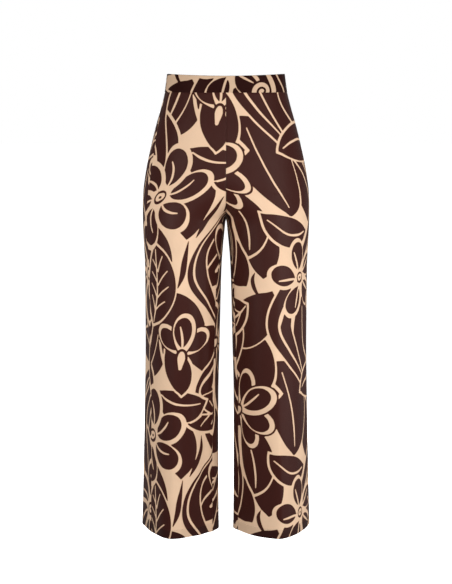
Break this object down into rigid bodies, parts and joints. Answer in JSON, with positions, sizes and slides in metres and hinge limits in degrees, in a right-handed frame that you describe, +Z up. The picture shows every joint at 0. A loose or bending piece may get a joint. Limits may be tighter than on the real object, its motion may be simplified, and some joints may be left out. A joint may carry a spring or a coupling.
{
  "type": "palazzo pants",
  "caption": "High-waisted palazzo pants with a straight waistband and wide straight legs, hollow and filled out as worn.",
  "frame": {"origin": "centre of the waist opening, level with the top of the waistband at the side seams", "axes": "+Z up out of the waist, -Y towards the front of the garment, +X towards the wearer's left"},
  "size_m": [0.3999, 0.2515, 1.0745],
  "materials": {
    "printed_crepe": "smooth matte crepe, dark brown with a pale peach print",
    "waistband_crepe": "the same crepe, faced and pressed firm"
  },
  "bodies": {
    "root": {"front_left": "printed_crepe", "front_right": "printed_crepe", "back_left": "printed_crepe", "back_right": "printed_crepe", "waistband_front": "waistband_crepe", "waistband_back": "waistband_crepe"}
  },
  "joints": []
}
